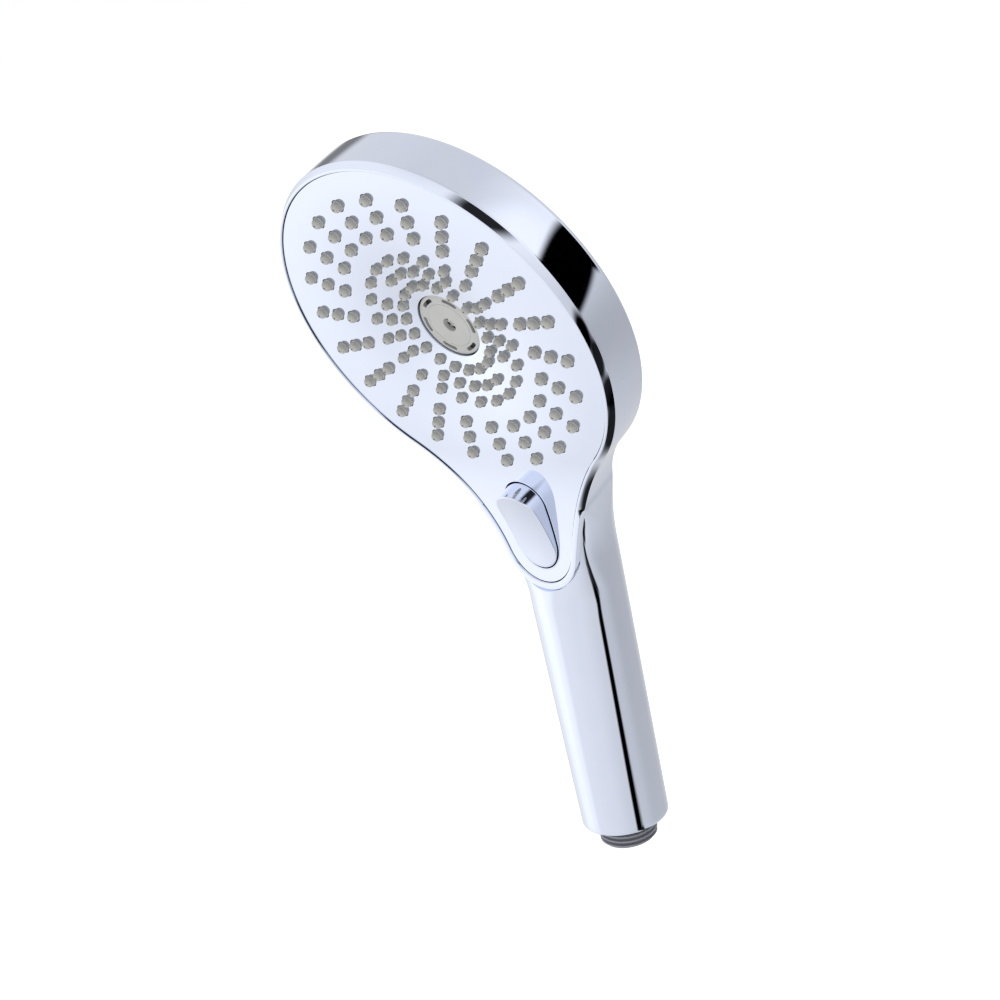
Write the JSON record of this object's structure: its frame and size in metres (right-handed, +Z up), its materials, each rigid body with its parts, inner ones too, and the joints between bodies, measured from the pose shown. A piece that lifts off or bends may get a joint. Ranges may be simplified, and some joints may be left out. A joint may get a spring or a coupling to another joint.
{
  "type": "handheld shower head",
  "caption": "Chrome handheld shower head: round dished face with soft nozzles, a thumb rocker button at the neck, a straight handle and a threaded inlet.",
  "frame": {"origin": "centre of the end face of the inlet thread", "axes": "+Z up the handle axis from the inlet to the head, -Y to the spray side, X across the head"},
  "size_m": [0.1304, 0.0729, 0.2694],
  "materials": {
    "chrome_shell": "bright plated, smooth",
    "chrome_face": "mirror plated",
    "silicone": "soft grey silicone, satin",
    "grey_plastic": "moulded grey, satin",
    "inner_plastic": "moulded acetal",
    "seal_rubber": "black rubber",
    "steel": "stainless"
  },
  "bodies": {
    "body": {"back_shell": "chrome_shell", "front_ring": "chrome_shell", "face_plate": "chrome_face", "nozzle_mat_outer": "silicone", "nozzle_mat_inner": "silicone", "centre_disc": "grey_plastic", "inlet_tube": "grey_plastic", "spray_body": "inner_plastic", "chamber_lid": "inner_plastic", "handle_bush": "inner_plastic", "flow_restrictor": "inner_plastic", "valve_seat": "seal_rubber", "body_seal": "seal_rubber", "tube_seal": "seal_rubber", "turbine_axle": "steel", "button_pin": "steel", "button_spring": "steel", "filter_screen": "steel", "lid_screw_1": "steel", "lid_screw_2": "steel", "lid_screw_3": "steel", "lid_screw_4": "steel"},
    "button": {"button": "chrome_shell"},
    "slider": {"pawl_slider": "inner_plastic"},
    "diverter": {"diverter_disc": "inner_plastic", "ratchet_wheel": "inner_plastic", "spindle_clip": "steel"},
    "turbine": {"turbine": "inner_plastic"}
  },
  "joints": [
    {"name": "button_rock", "type": "hinge", "parent": "body", "child": "button", "pos_m": [0, -0.00729, 0.11996], "axis": [-1, 0, 0], "range_deg": [0, 8], "stiffness_Nm_per_rad": 0.9, "springref_deg": -8.59},
    {"name": "pawl_slide", "type": "slide", "parent": "body", "child": "slider", "axis": [0, 0.3156, -0.9489], "range_m": [0, 0.00192]},
    {"name": "diverter_turn", "type": "hinge", "parent": "body", "child": "diverter", "pos_m": [0, -0.01069, 0.16773], "axis": [0, -0.9489, -0.3156], "continuous": true},
    {"name": "turbine_spin", "type": "hinge", "parent": "body", "child": "turbine", "pos_m": [0, -0.02616, 0.20474], "axis": [0, -0.9489, -0.3156], "continuous": true}
  ],
  "couplings": [
    {"joint": "pawl_slide", "follows": "button_rock", "m_per_rad": 0.013751}
  ]
}
